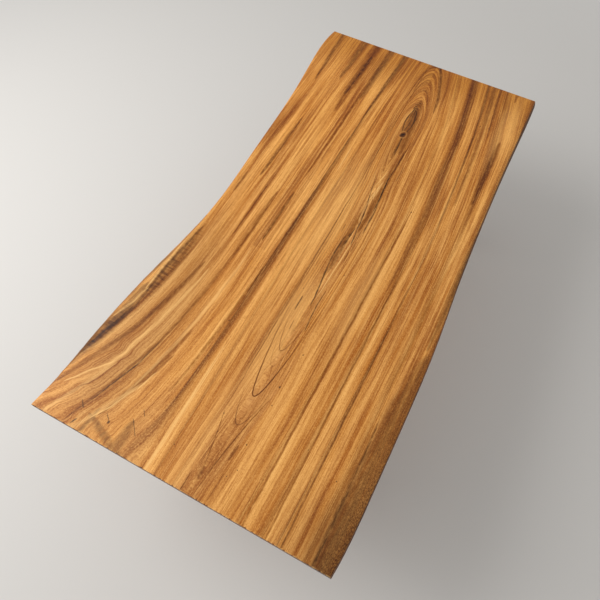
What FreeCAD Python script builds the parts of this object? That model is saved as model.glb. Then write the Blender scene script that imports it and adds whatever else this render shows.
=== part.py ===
import FreeCAD, Part
import math
import os
import Sketcher

# Live edge dining table: one wide slab of hardwood, planed flat and cross-cut square, with
# the wavy outside of the log kept on both long sides.  It stands on two welded steel
# trapezoid frames with levelling feet.
#
# Millimetres.  +X runs along the table from its wide end to its narrow end, +Y points to the
# wavy edge and +Z up.  The origin is on the floor under the middle of the slab.

doc = FreeCAD.newDocument("live_edge_table")

# ---------------------------------------------------------------- driving dimensions

sheet = doc.addObject("Spreadsheet::Sheet", "Sheet")

DIMENSIONS = {
    "table_height": 750,
    "slab_length": 2200,
    "slab_thickness": 50,
    "slab_arris": 2.5,
    # the flitch is the slab as it comes off the log, before its ends are cut square
    "flitch_length": 2220,
    "flitch_width": 1180,
    "waste_margin": 10,
    "cut_overrun": 1,
    # steel channels let into the underside against cupping
    "channel_spacing": 365,
    "channel_length": 800,
    "channel_width": 40,
    "channel_depth": 15,
    "channel_wall": 3,
    "channel_bend": 2.5,
    "channel_gap": 0.5,
    "channel_end_gap": 4,
    # leg frames, in 80 x 40 box section
    "frame_spacing": 1460,
    "base_shift": -15,
    "tube_width": 80,
    "tube_depth": 40,
    "tube_wall": 3,
    "tube_corner": 6,
    "foot_half_span": 390,
    "post_splay": 8,
    "rail_clearance": 14.2,
    # mounting plate on top of each frame
    "plate_length": 760,
    "plate_width": 120,
    "plate_thickness": 8,
    "plate_corner": 15,
    "plate_slot_length": 16,
    "plate_slot_width": 9,
    "bolt_row": 42,
    "bolt_column": 310,
    # M8 flange bolt under the slab, and the bore for its threaded insert
    "bolt_size": 8,
    "bolt_length": 28,
    "bolt_flange_size": 18,
    "bolt_flange": 1.8,
    "bolt_flats": 13,
    "bolt_head": 6.5,
    "insert_bore": 12,
    "insert_bore_depth": 28,
    # levelling foot: M10 hexagon bolt, head down in a moulded pad, in a nut inside the rail
    "foot_inset": 65,
    "stem_size": 10,
    "stem_length": 32,
    "stem_flats": 17,
    "stem_head": 10,
    "stem_recess": 4,
    "pad_size": 48,
    "pad_slope": 4,
    "pad_thickness": 8,
    "pad_recess_size": 20.4,
    "running_clearance": 0.05,
    "rail_hole": 11,
    "nut_flats": 17,
    "nut_length": 12,
}

# The log's own line at nine stations along the flitch, from the wide end to the narrow end:
# how far the slab reaches from the middle at its underside, and how far the edge falls
# inwards from there to the top face.
WAVY_REACH = (579, 563, 540.5, 500.5, 473.5, 479, 487.5, 511, 509)
WAVY_FALL = (12, 36, 45, 30, 14, 10, 9, 8, 8)
STRAIGHT_REACH = (565.5, 578, 577.5, 573, 556, 543.5, 536.5, 535.5, 533)
STRAIGHT_FALL = (6, 6, 6, 7, 8, 9, 9, 10, 10)
STATIONS = len(WAVY_REACH)

LINES = {
    "wavy_reach": WAVY_REACH,
    "wavy_fall": WAVY_FALL,
    "straight_reach": STRAIGHT_REACH,
    "straight_fall": STRAIGHT_FALL,
}
for line, values in LINES.items():
    for station, value in enumerate(values):
        DIMENSIONS[f"{line}_{station}_mm"] = value

for row, (alias, value) in enumerate(DIMENSIONS.items(), 1):
    sheet.set(f"A{row}", alias)
    sheet.set(f"B{row}", str(value))
    sheet.setAlias(f"B{row}", alias)
doc.recompute()

# ---------------------------------------------------------------- drawing helpers

parts = []


def value_of(expression):
    """The number that an expression on the sheet comes to."""
    return float(sheet.evalExpression(expression.replace("Sheet.", "")))


def new_body(label, keep=True):
    """A body of its own, listed for export unless it is only a pattern piece."""
    body = doc.addObject("PartDesign::Body", label)
    body.Label = label
    if keep:
        parts.append(body)
    return body


def place(body, x="0", y="0", z="0", turn=0):
    """Turn a sub-part about Z and bind its place to the sheet."""
    axis = FreeCAD.Vector(0, 0, 1)
    origin = FreeCAD.Vector(0, 0, 0)
    body.Placement = FreeCAD.Placement(origin, FreeCAD.Rotation(axis, turn))
    body.setExpression("Placement.Base.x", x)
    body.setExpression("Placement.Base.y", y)
    body.setExpression("Placement.Base.z", z)


def new_sketch(body, name, role, height="0"):
    """A sketch on one of the body's origin planes, raised by a height along its normal."""
    sketch = body.newObject("Sketcher::SketchObject", name)
    plane = [item for item in body.Origin.OriginFeatures if item.Role == role][0]
    sketch.AttachmentSupport = (plane, "")
    sketch.MapMode = "FlatFace"
    sketch.setExpression("AttachmentOffset.Base.z", height)
    return sketch


def pin_point(sketch, geometry, vertex, across, up):
    """Dimension one point of a sketch from the sketch's origin."""
    for kind, expression in (("DistanceX", across), ("DistanceY", up)):
        number = value_of(expression)
        index = sketch.addConstraint(Sketcher.Constraint(kind, -1, 1, geometry, vertex, number))
        sketch.setExpression(f"Constraints[{index}]", expression)


def join(sketch, first, second):
    """Close an outline: the end of one curve is the start of the next."""
    sketch.addConstraint(Sketcher.Constraint("Coincident", first, 2, second, 1))


def draw_polygon(sketch, corners):
    """A closed outline of straight lines through corners given as expressions."""
    points = [FreeCAD.Vector(value_of(across), value_of(up), 0) for across, up in corners]
    lines = []
    for start, end in zip(points, points[1:] + points[:1]):
        lines.append(sketch.addGeometry(Part.LineSegment(start, end), False))
    for line, following in zip(lines, lines[1:] + lines[:1]):
        join(sketch, line, following)
    for line, (across, up) in zip(lines, corners):
        pin_point(sketch, line, 1, across, up)


def draw_rectangle(sketch, left, right, bottom, top):
    draw_polygon(sketch, [(left, bottom), (right, bottom), (right, top), (left, top)])


def draw_regular_polygon(sketch, sides, flats):
    """A regular outline about the sketch's origin, of a given size across its flats."""
    corners = []
    for corner in range(sides):
        angle = 360 / sides * corner
        across = f"{flats} / 2 / cos({180 / sides}) * cos({angle})"
        up = f"{flats} / 2 / cos({180 / sides}) * sin({angle})"
        corners.append((across, up))
    draw_polygon(sketch, corners)


def draw_circle(sketch, across, up, diameter):
    centre = FreeCAD.Vector(value_of(across), value_of(up), 0)
    size = value_of(diameter)
    circle = sketch.addGeometry(Part.Circle(centre, FreeCAD.Vector(0, 0, 1), size / 2), False)
    index = sketch.addConstraint(Sketcher.Constraint("Diameter", circle, size))
    sketch.setExpression(f"Constraints[{index}]", diameter)
    pin_point(sketch, circle, 3, across, up)


def draw_slot(sketch, across, up, length, width):
    """A slot along the sketch's second direction: two half circles and two straight sides."""
    half_side = f"({length} - {width}) / 2"
    radius = value_of(f"{width} / 2")
    middle = value_of(across)
    ends = (value_of(f"{up} + {half_side}"), value_of(f"{up} - {half_side}"))
    curves = []
    for end, start_angle in zip(ends, (0, math.pi)):
        centre = FreeCAD.Vector(middle, end, 0)
        circle = Part.Circle(centre, FreeCAD.Vector(0, 0, 1), radius)
        curves.append(Part.ArcOfCircle(circle, start_angle, start_angle + math.pi))
    for side, start, end in ((-1, ends[0], ends[1]), (1, ends[1], ends[0])):
        start_point = FreeCAD.Vector(middle + side * radius, start, 0)
        end_point = FreeCAD.Vector(middle + side * radius, end, 0)
        curves.append(Part.LineSegment(start_point, end_point))
    upper, lower, left, right = [sketch.addGeometry(curve, False) for curve in curves]
    outline = [upper, left, lower, right]
    for curve, following in zip(outline, outline[1:] + outline[:1]):
        sketch.addConstraint(Sketcher.Constraint("Tangent", curve, 2, following, 1))
    sketch.addConstraint(Sketcher.Constraint("Equal", upper, lower))
    index = sketch.addConstraint(Sketcher.Constraint("Radius", upper, radius))
    sketch.setExpression(f"Constraints[{index}]", f"{width} / 2")
    pin_point(sketch, upper, 3, across, f"{up} + {half_side}")
    pin_point(sketch, lower, 3, across, f"{up} - {half_side}")


def pad(body, sketch, length, both_ways=False, downwards=False):
    feature = body.newObject("PartDesign::Pad", f"{sketch.Name}_pad")
    feature.Profile = sketch
    feature.setExpression("Length", length)
    feature.Midplane = both_ways
    feature.Reversed = downwards
    doc.recompute()
    return feature


def cut(body, sketch, depth, both_ways=False, upwards=False):
    """A pocket into the body, which must take some of it away."""
    before = body.Shape.Volume
    feature = body.newObject("PartDesign::Pocket", f"{sketch.Name}_cut")
    feature.Profile = sketch
    feature.setExpression("Length", depth)
    feature.Midplane = both_ways
    feature.Reversed = upwards
    doc.recompute()
    if not body.Shape.Volume < before - 0.01:
        raise RuntimeError(f"{sketch.Name} cuts nothing from {body.Label}")
    return feature


def round_edges(body, name, radius, wanted):
    """Fillet the edges of the body's last feature that pass a test."""
    base = body.Tip
    names = [f"Edge{n}" for n, edge in enumerate(base.Shape.Edges, 1) if wanted(edge)]
    feature = body.newObject("PartDesign::Fillet", name)
    feature.Base = (base, names)
    feature.setExpression("Radius", radius)
    doc.recompute()
    return feature


def bevel_edges(body, name, size, wanted):
    """Chamfer the edges of the body's last feature that pass a test."""
    base = body.Tip
    names = [f"Edge{n}" for n, edge in enumerate(base.Shape.Edges, 1) if wanted(edge)]
    feature = body.newObject("PartDesign::Chamfer", name)
    feature.Base = (base, names)
    feature.setExpression("Size", size)
    doc.recompute()
    return feature


def runs_along(edge, direction, shortest=0.0):
    """True for a straight edge of at least a length that runs in a direction."""
    if edge.Curve.TypeId != "Part::GeomLine" or edge.Length < shortest:
        return False
    return abs(abs(edge.Curve.Direction.dot(direction)) - 1) < 1e-6


ALONG = FreeCAD.Vector(1, 0, 0)
ACROSS = FreeCAD.Vector(0, 1, 0)
UP = FreeCAD.Vector(0, 0, 1)

# ---------------------------------------------------------------- slab

# Hardwood slab, drawn with its underside at Z = 0.
slab = new_body("slab_top")
place(slab, z="Sheet.table_height - Sheet.slab_thickness")

board_sketch = new_sketch(slab, "board", "XY_Plane")
draw_rectangle(
    board_sketch,
    "-Sheet.slab_length / 2", "Sheet.slab_length / 2",
    "-Sheet.flitch_width / 2", "Sheet.flitch_width / 2")
pad(slab, board_sketch, "Sheet.slab_thickness")


def draw_waste(sketch, reach, fall):
    """Section of the wood that lies outside the log's surface.

    The surface is an arc that leaves the underside square at the full reach and meets the
    top face nearer the middle by the fall; its centre is on the underside.
    """
    thickness = "Sheet.slab_thickness"
    above = "Sheet.slab_thickness + Sheet.waste_margin"
    below = "-Sheet.waste_margin"
    outside = "Sheet.flitch_width / 2 + Sheet.waste_margin"
    top_reach = f"{reach} - {fall}"
    radius = f"({fall} * {fall} + {thickness} * {thickness}) / (2 * {fall})"
    centre = FreeCAD.Vector(value_of(f"{reach} - {radius}"), 0, 0)
    circle = Part.Circle(centre, FreeCAD.Vector(0, 0, 1), value_of(radius))
    arris = FreeCAD.Vector(value_of(top_reach), value_of(thickness), 0)
    end_angle = circle.parameter(arris)
    surface = sketch.addGeometry(Part.ArcOfCircle(circle, 0, end_angle), False)
    corners = [
        (top_reach, thickness),
        (top_reach, above),
        (outside, above),
        (outside, below),
        (reach, below),
        (reach, "0"),
    ]
    points = [FreeCAD.Vector(value_of(across), value_of(up), 0) for across, up in corners]
    lines = []
    for start, end in zip(points, points[1:]):
        lines.append(sketch.addGeometry(Part.LineSegment(start, end), False))
    outline = [surface] + lines
    for curve, following in zip(outline, outline[1:] + outline[:1]):
        join(sketch, curve, following)
    for line, (across, up) in zip(lines, corners):
        pin_point(sketch, line, 1, across, up)
    pin_point(sketch, surface, 1, *corners[-1])
    sketch.addConstraint(Sketcher.Constraint("PointOnObject", surface, 3, -1))


def cut_live_edge(body, line, turned):
    """Take the waste off one long side, along the log's surface."""
    sections = []
    for station in range(STATIONS):
        share = station / (STATIONS - 1) - 0.5
        sketch = new_sketch(body, f"{line}_{station}", "YZ_Plane", f"Sheet.flitch_length * {share}")
        if turned:
            sketch.AttachmentOffset = FreeCAD.Placement(
                FreeCAD.Vector(0, 0, 0), FreeCAD.Rotation(FreeCAD.Vector(0, 1, 0), 180))
        reach = f"Sheet.{line}_reach_{station}_mm"
        fall = f"Sheet.{line}_fall_{station}_mm"
        draw_waste(sketch, reach, fall)
        sections.append(sketch)
    doc.recompute()
    loft = body.newObject("PartDesign::SubtractiveLoft", f"{line}_edge")
    loft.Profile = sections[0]
    loft.Sections = sections[1:]
    doc.recompute()


cut_live_edge(slab, "wavy", False)
cut_live_edge(slab, "straight", True)



def round_the_top(edge):
    return edge.CenterOfMass.z > value_of("Sheet.slab_thickness") - 0.01


# The arris that hands and sleeves meet is eased all round the top face.
round_edges(slab, "eased_arris", "Sheet.slab_arris", round_the_top)

# Housings for the three channels: a shallow recess for the web and a deep slot for each leg.
recess = new_sketch(slab, "channel_recess", "XY_Plane")
leg_slots = new_sketch(slab, "channel_leg_slots", "XY_Plane")
half_housing = "(Sheet.channel_length / 2 + Sheet.channel_end_gap)"
housing_edge = "(Sheet.channel_width / 2 + Sheet.channel_gap)"
slot_inside = "(Sheet.channel_width / 2 - Sheet.channel_wall - Sheet.channel_gap)"
for place_along in (-1, 0, 1):
    middle = f"{place_along} * Sheet.channel_spacing"
    ends = (f"Sheet.base_shift - {half_housing}", f"Sheet.base_shift + {half_housing}")
    draw_rectangle(recess, f"{middle} - {housing_edge}", f"{middle} + {housing_edge}", *ends)
    draw_rectangle(leg_slots, f"{middle} - {housing_edge}", f"{middle} - {slot_inside}", *ends)
    draw_rectangle(leg_slots, f"{middle} + {slot_inside}", f"{middle} + {housing_edge}", *ends)
cut(slab, recess, "Sheet.channel_wall", upwards=True)
cut(slab, leg_slots, "Sheet.channel_depth + Sheet.channel_gap", upwards=True)

# Bores for the threaded inserts of the frame bolts.
BOLT_PLACES = {}
for end, side in (("wide_end", -1), ("narrow_end", 1)):
    BOLT_PLACES[end] = []
    for row in (-1, 1):
        for column in (-1, 1):
            along = f"{side} * Sheet.frame_spacing / 2 + {row} * Sheet.bolt_row"
            across = f"Sheet.base_shift + {column} * Sheet.bolt_column"
            BOLT_PLACES[end].append((along, across))

bolt_bores = new_sketch(slab, "bolt_bores", "XY_Plane")
for along, across in BOLT_PLACES["wide_end"] + BOLT_PLACES["narrow_end"]:
    draw_circle(bolt_bores, along, across, "Sheet.insert_bore")
cut(slab, bolt_bores, "Sheet.insert_bore_depth", upwards=True)

# ---------------------------------------------------------------- stiffening channels


def make_channel(label, along):
    """Folded steel channel, web down and flush with the underside, legs up in the wood."""
    body = new_body(label)
    place(body, x=along, y="Sheet.base_shift", z="Sheet.table_height - Sheet.slab_thickness")
    section = new_sketch(body, f"{label}_section", "XZ_Plane")
    half = "Sheet.channel_width / 2"
    inside = "(Sheet.channel_width / 2 - Sheet.channel_wall)"
    draw_polygon(section, [
        (f"-{half}", "0"),
        (half, "0"),
        (half, "Sheet.channel_depth"),
        (inside, "Sheet.channel_depth"),
        (inside, "Sheet.channel_wall"),
        (f"-{inside}", "Sheet.channel_wall"),
        (f"-{inside}", "Sheet.channel_depth"),
        (f"-{half}", "Sheet.channel_depth"),
    ])
    pad(body, section, "Sheet.channel_length", both_ways=True)

    def fold(edge):
        return runs_along(edge, ACROSS, 100) and edge.CenterOfMass.z < 0.01

    round_edges(body, f"{label}_folds", "Sheet.channel_bend", fold)


make_channel("wide_end_channel", "-Sheet.channel_spacing")
make_channel("middle_channel", "0")
make_channel("narrow_end_channel", "Sheet.channel_spacing")

# ---------------------------------------------------------------- leg frames

# Each frame is drawn in its own YZ plane and placed at its end of the table.  Its outline is
# a trapezoid with mitred foot corners: the same box section all round, so the mitre runs
# from the outer corner to the point where the inner faces meet.
FRAME_PLACES = {
    "wide_end": "-Sheet.frame_spacing / 2",
    "narrow_end": "Sheet.frame_spacing / 2",
}
RAIL_TOP = "(Sheet.rail_clearance + Sheet.tube_depth)"
PLATE_TOP = "(Sheet.table_height - Sheet.slab_thickness)"
PLATE_UNDER = "(Sheet.table_height - Sheet.slab_thickness - Sheet.plate_thickness)"
TUBE_ON_THE_SLANT = "Sheet.tube_depth / cos(Sheet.post_splay)"


def post_outer(height):
    """How far the outer face of a post is from the middle at a height."""
    return f"(Sheet.foot_half_span - ({height} - Sheet.rail_clearance) * tan(Sheet.post_splay))"


def post_inner(height):
    return f"({post_outer(height)} - {TUBE_ON_THE_SLANT})"


def make_post(label, along, turn):
    """Splayed post of box section, cut level under the plate and mitred at the foot."""
    body = new_body(label)
    place(body, x=along, y="Sheet.base_shift", turn=turn)
    outline = new_sketch(body, f"{label}_outline", "YZ_Plane")
    draw_polygon(outline, [
        (post_outer("Sheet.rail_clearance"), "Sheet.rail_clearance"),
        (post_outer(PLATE_UNDER), PLATE_UNDER),
        (post_inner(PLATE_UNDER), PLATE_UNDER),
        (post_inner(RAIL_TOP), RAIL_TOP),
    ])
    pad(body, outline, "Sheet.tube_width", both_ways=True)

    def long_corner(edge):
        return edge.Length > 300

    round_edges(body, f"{label}_corners", "Sheet.tube_corner", long_corner)
    hollow = new_sketch(body, f"{label}_hollow", "YZ_Plane")
    slant_wall = "Sheet.tube_wall / cos(Sheet.post_splay)"
    beyond = "(Sheet.table_height)"
    floor = "(Sheet.rail_clearance - Sheet.tube_depth)"
    draw_polygon(hollow, [
        (f"{post_outer(floor)} - {slant_wall}", floor),
        (f"{post_outer(beyond)} - {slant_wall}", beyond),
        (f"{post_inner(beyond)} + {slant_wall}", beyond),
        (f"{post_inner(floor)} + {slant_wall}", floor),
    ])
    cut(body, hollow, "Sheet.tube_width - 2 * Sheet.tube_wall", both_ways=True)


def make_foot_rail(label, along):
    """Foot rail of box section with mitred ends and a hole for each levelling foot's stem."""
    body = new_body(label)
    place(body, x=along, y="Sheet.base_shift")
    outline = new_sketch(body, f"{label}_outline", "YZ_Plane")
    foot = post_outer("Sheet.rail_clearance")
    inner = post_inner(RAIL_TOP)
    draw_polygon(outline, [
        (f"-{foot}", "Sheet.rail_clearance"),
        (foot, "Sheet.rail_clearance"),
        (inner, RAIL_TOP),
        (f"-{inner}", RAIL_TOP),
    ])
    pad(body, outline, "Sheet.tube_width", both_ways=True)

    def long_corner(edge):
        return runs_along(edge, ACROSS, 100)

    round_edges(body, f"{label}_corners", "Sheet.tube_corner", long_corner)
    hollow = new_sketch(body, f"{label}_hollow", "YZ_Plane")
    draw_rectangle(
        hollow,
        f"-{foot} - Sheet.tube_depth", f"{foot} + Sheet.tube_depth",
        "Sheet.rail_clearance + Sheet.tube_wall", f"{RAIL_TOP} - Sheet.tube_wall")
    cut(body, hollow, "Sheet.tube_width - 2 * Sheet.tube_wall", both_ways=True)
    holes = new_sketch(body, f"{label}_holes", "XY_Plane", "Sheet.rail_clearance - Sheet.cut_overrun")
    for side in (-1, 1):
        across = f"{side} * (Sheet.foot_half_span - Sheet.foot_inset)"
        draw_circle(holes, "0", across, "Sheet.rail_hole")
    cut(body, holes, "Sheet.tube_wall + 2 * Sheet.cut_overrun", upwards=True)


def make_plate(label, along):
    """Mounting plate: a steel flat welded across the posts, slotted across the grain."""
    body = new_body(label)
    place(body, x=along, y="Sheet.base_shift", z=PLATE_UNDER)
    outline = new_sketch(body, f"{label}_outline", "XY_Plane")
    draw_rectangle(
        outline,
        "-Sheet.plate_width / 2", "Sheet.plate_width / 2",
        "-Sheet.plate_length / 2", "Sheet.plate_length / 2")
    pad(body, outline, "Sheet.plate_thickness")

    def corner(edge):
        return runs_along(edge, UP)

    round_edges(body, f"{label}_corners", "Sheet.plate_corner", corner)
    slots = new_sketch(body, f"{label}_slots", "XY_Plane", "-Sheet.cut_overrun")
    for row in (-1, 1):
        for column in (-1, 1):
            draw_slot(
                slots, f"{row} * Sheet.bolt_row", f"{column} * Sheet.bolt_column",
                "Sheet.plate_slot_length", "Sheet.plate_slot_width")
    cut(body, slots, "Sheet.plate_thickness + 2 * Sheet.cut_overrun", upwards=True)


for end, along in FRAME_PLACES.items():
    make_plate(f"{end}_mounting_plate", along)
    make_post(f"{end}_left_post", along, 0)
    make_post(f"{end}_right_post", along, 180)
    make_foot_rail(f"{end}_foot_rail", along)

# ---------------------------------------------------------------- fasteners


def copies(label, master, spots):
    """Identical fasteners in one node: a separate solid at each spot."""
    node = doc.addObject("Part::Feature", label)
    node.Label = label
    solids = []
    for spot in spots:
        solid = master.Shape.copy()
        solid.translate(FreeCAD.Vector(*[value_of(expression) for expression in spot]))
        solids.append(solid)
    node.Shape = Part.makeCompound(solids)
    node.Placement = FreeCAD.Placement()
    parts.append(node)


# M8 flange bolt, head down: the shank points up from Z = 0.
bolt = new_body("bolt_master", keep=False)
shank = new_sketch(bolt, "bolt_shank", "XY_Plane")
draw_circle(shank, "0", "0", "Sheet.bolt_size")
pad(bolt, shank, "Sheet.bolt_length")
flange = new_sketch(bolt, "bolt_flange_outline", "XY_Plane")
draw_circle(flange, "0", "0", "Sheet.bolt_flange_size")
pad(bolt, flange, "Sheet.bolt_flange", downwards=True)
head = new_sketch(bolt, "bolt_head_outline", "XY_Plane")
draw_regular_polygon(head, 6, "Sheet.bolt_flats")
pad(bolt, head, "Sheet.bolt_head", downwards=True)

for end, spots in BOLT_PLACES.items():
    copies(f"{end}_plate_bolts", bolt, [(x, y, PLATE_UNDER) for x, y in spots])

# M10 hexagon nut, welded inside the rail on its bottom wall.
nut = new_body("foot_nut_master", keep=False)
nut_outline = new_sketch(nut, "foot_nut_outline", "XY_Plane")
draw_regular_polygon(nut_outline, 6, "Sheet.nut_flats")
draw_circle(nut_outline, "0", "0", "Sheet.stem_size + 2 * Sheet.running_clearance")
pad(nut, nut_outline, "Sheet.nut_length")

FOOT_PLACES = {}
for end, along in FRAME_PLACES.items():
    for side, sign in (("left", 1), ("right", -1)):
        across = f"Sheet.base_shift + {sign} * (Sheet.foot_half_span - Sheet.foot_inset)"
        FOOT_PLACES[f"{end}_{side}"] = (along, across)
inner_floor = "Sheet.rail_clearance + Sheet.tube_wall"
copies("foot_rail_nuts", nut, [(x, y, inner_floor) for x, y in FOOT_PLACES.values()])

# ---------------------------------------------------------------- levelling feet

GRIP_FLATS = 16


def make_stem(label, along, across):
    """Hexagon bolt that stands on its head in the pad; a spanner turns it to level the table."""
    body = new_body(label)
    place(body, x=along, y=across)
    recess_floor = "(Sheet.pad_thickness - Sheet.stem_recess)"
    head_outline = new_sketch(body, f"{label}_head", "XY_Plane", recess_floor)
    draw_regular_polygon(head_outline, 6, "Sheet.stem_flats")
    pad(body, head_outline, "Sheet.stem_head")
    thread = new_sketch(body, f"{label}_thread", "XY_Plane", f"{recess_floor} + Sheet.stem_head")
    draw_circle(thread, "0", "0", "Sheet.stem_size")
    pad(body, thread, "Sheet.stem_length")


def make_pad(label, along, across):
    """Moulded pad with grip flats round its rim and a recess in which the stem's head turns."""
    body = new_body(label)
    place(body, x=along, y=across)
    rim = new_sketch(body, f"{label}_rim", "XY_Plane")
    draw_regular_polygon(rim, GRIP_FLATS, "Sheet.pad_size")
    pad(body, rim, "Sheet.pad_thickness")

    def top_rim(edge):
        return edge.CenterOfMass.z > value_of("Sheet.pad_thickness") - 0.01

    bevel_edges(body, f"{label}_slope", "Sheet.pad_slope", top_rim)
    recess = new_sketch(body, f"{label}_recess", "XY_Plane", "Sheet.pad_thickness")
    draw_regular_polygon(recess, GRIP_FLATS, "Sheet.pad_recess_size")
    cut(body, recess, "Sheet.stem_recess")


for corner_name, (along, across) in FOOT_PLACES.items():
    make_stem(f"{corner_name}_foot_stem", along, across)
    make_pad(f"{corner_name}_foot_pad", along, across)

# ---------------------------------------------------------------- checks and export

doc.recompute()
for item in doc.Objects:
    if "Invalid" in item.State or "Error" in item.State:
        raise RuntimeError(f"{item.Name} has state {item.State}")
for item in parts:
    if item.Shape.isNull() or not item.Shape.isValid():
        raise RuntimeError(f"{item.Label} has no valid shape")

os.makedirs("parts", exist_ok=True)
for item in parts:
    item.Shape.exportStep(f"parts/{item.Label}.step")
print(len(parts), "parts written")
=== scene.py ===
import math

import bmesh
import bpy
from mathutils import Matrix, Vector, noise
from mathutils.bvhtree import BVHTree


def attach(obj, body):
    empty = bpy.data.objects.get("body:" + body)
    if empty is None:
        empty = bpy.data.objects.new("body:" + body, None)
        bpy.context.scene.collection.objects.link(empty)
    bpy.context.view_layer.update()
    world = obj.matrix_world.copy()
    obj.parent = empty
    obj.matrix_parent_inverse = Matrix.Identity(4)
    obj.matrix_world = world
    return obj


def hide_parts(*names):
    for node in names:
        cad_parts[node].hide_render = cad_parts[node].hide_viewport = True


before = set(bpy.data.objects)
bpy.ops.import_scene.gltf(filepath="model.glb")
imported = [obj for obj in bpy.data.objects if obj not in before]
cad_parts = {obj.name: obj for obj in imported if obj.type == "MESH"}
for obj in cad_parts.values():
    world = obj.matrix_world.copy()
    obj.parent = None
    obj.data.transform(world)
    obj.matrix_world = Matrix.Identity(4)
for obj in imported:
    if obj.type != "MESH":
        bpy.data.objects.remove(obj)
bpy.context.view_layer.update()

# --- slab
# One board sawn through the whole log: planed top, square ends, and the outside of the log
# kept on both long sides, wavy on one.  Its arrises are eased by hand, and three housings
# for the steel channels are routed into the underside.

SLAB_HALF_LENGTH = 1.1
SLAB_TOP = 0.75
SLAB_UNDER = 0.7
ARRIS = 0.0025
UNDER_ARRIS = 0.0015
LENGTHS, WIDTHS = 300, 96
END_LINES = (0, 0.0004, 0.001, 0.0018, ARRIS)
EDGE_HEIGHTS = (
    0.7, 0.7004, 0.7015, 0.708, 0.716, 0.724, 0.732, 0.74, 0.7455, 0.7475, 0.7489, 0.7497, 0.75)
EASED_LEVEL = 9
FLUSH = 1e-5

slab_solid = BVHTree.FromObject(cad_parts["slab_top"], bpy.context.evaluated_depsgraph_get())


def live_edge(along, height, side):
    """How far the slab reaches at a place along it and a height, on its wavy (1) or straight (-1) side."""
    along = max(-SLAB_HALF_LENGTH + ARRIS, min(SLAB_HALF_LENGTH - ARRIS, along))
    height = max(SLAB_UNDER + 0.0001, min(SLAB_TOP - 0.0001, height))
    return slab_solid.ray_cast(Vector((along, side, height)), Vector((0, -side, 0)))[0].y


def stand(name, data):
    """A new object in the scene."""
    thing = bpy.data.objects.new(name, data)
    bpy.context.scene.collection.objects.link(thing)
    return thing


def new_piece(shape, name, slot, body, crisp, *stands_for):
    """A bmesh becomes a piece of the table that rides on a body, smooth but for its crisp edges."""
    mesh = bpy.data.meshes.new(name)
    shape.to_mesh(mesh)
    shape.free()
    mesh.polygons.foreach_set("use_smooth", [True] * len(mesh.polygons))
    mesh.set_sharp_from_angle(angle=math.radians(crisp))
    piece = stand(name, mesh)
    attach(piece, body)
    if stands_for:
        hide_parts(*stands_for)
    return piece


def divide(shape, axis, cuts):
    """Cut every edge of a block that runs along one axis into equal lengths."""
    runs = [e for e in shape.edges if abs((e.verts[0].co - e.verts[1].co)[axis]) > 1e-6]
    bmesh.ops.subdivide_edges(shape, edges=runs, cuts=cuts - 1, use_grid_fill=True)


block = bmesh.new()
bmesh.ops.create_cube(block, size=1)
divide(block, 0, LENGTHS)
divide(block, 1, WIDTHS)
divide(block, 2, len(EDGE_HEIGHTS) - 1)


def end_station(step):
    """Where a cross line of the block lies along the slab: close together at the eased ends."""
    from_end = min(step, LENGTHS - step)
    last = len(END_LINES) - 1
    if from_end < last:
        distance = END_LINES[from_end]
    else:
        share = (from_end - last) / (LENGTHS / 2 - last)
        distance = ARRIS + (SLAB_HALF_LENGTH - ARRIS) * share
    return (SLAB_HALF_LENGTH - distance) * (-1 if step < LENGTHS / 2 else 1)


def eased(distance, size):
    """How far an eased arris of a size has fallen away, at a distance in from where it starts."""
    left = max(0, 1 - distance / size)
    return size * (1 - math.sqrt(max(0, 1 - left ** 2)))


for vertex in block.verts:
    step = round((vertex.co.x + 0.5) * LENGTHS)
    across = vertex.co.y * 2
    level = round((vertex.co.z + 0.5) * (len(EDGE_HEIGHTS) - 1))
    along = end_station(step)
    height = EDGE_HEIGHTS[level]
    rounded = eased(height - SLAB_UNDER, UNDER_ARRIS)
    wavy = live_edge(along, height, 1) - rounded
    straight = live_edge(along, height, -1) + rounded
    reach = (wavy - straight) / 2
    middle = (wavy + straight) / 2
    drop = eased(SLAB_HALF_LENGTH - abs(along), ARRIS) if level >= EASED_LEVEL else 0
    vertex.co = (along, middle + across * reach, min(height, SLAB_TOP - drop))
bmesh.ops.remove_doubles(block, verts=block.verts, dist=1e-6)

# housings for the channels
CHANNELS = {"wide_end_channel": -0.365, "middle_channel": 0, "narrow_end_channel": 0.365}
HOUSING_HALF_WIDTH = 0.0205
HOUSING_ENDS = (-0.419, 0.389)
HOUSING_DEPTH = 0.0155
for along in CHANNELS.values():
    sides = [((along + way * HOUSING_HALF_WIDTH, 0, 0), (1, 0, 0)) for way in (-1, 1)]
    sides += [((0, end, 0), (0, 1, 0)) for end in HOUSING_ENDS]
    for place, normal in sides:
        under = [
            f for f in block.faces if f.normal.z < -0.9 or f.calc_center_median().z < SLAB_UNDER + FLUSH]
        near = [f for f in under if abs(f.calc_center_median().x - along) < 0.05]
        parts = set(near) | {e for f in near for e in f.edges} | {v for f in near for v in f.verts}
        bmesh.ops.bisect_plane(block, geom=list(parts), plane_co=place, plane_no=normal)
block.normal_update()
floor_of_housing = []
for face in block.faces:
    centre = face.calc_center_median()
    beside = min(abs(centre.x - along) for along in CHANNELS.values())
    if centre.z < SLAB_UNDER + FLUSH and beside < HOUSING_HALF_WIDTH:
        if HOUSING_ENDS[0] < centre.y < HOUSING_ENDS[1]:
            floor_of_housing.append(face)


def corners_in(parts):
    """The vertices among the parts of a shape."""
    return [part for part in parts if isinstance(part, bmesh.types.BMVert)]


cut = bmesh.ops.extrude_face_region(block, geom=floor_of_housing)
bmesh.ops.translate(block, verts=corners_in(cut["geom"]), vec=(0, 0, HOUSING_DEPTH))
bmesh.ops.delete(block, geom=[f for f in floor_of_housing if f.is_valid], context="FACES")
bmesh.ops.recalc_face_normals(block, faces=block.faces)

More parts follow.
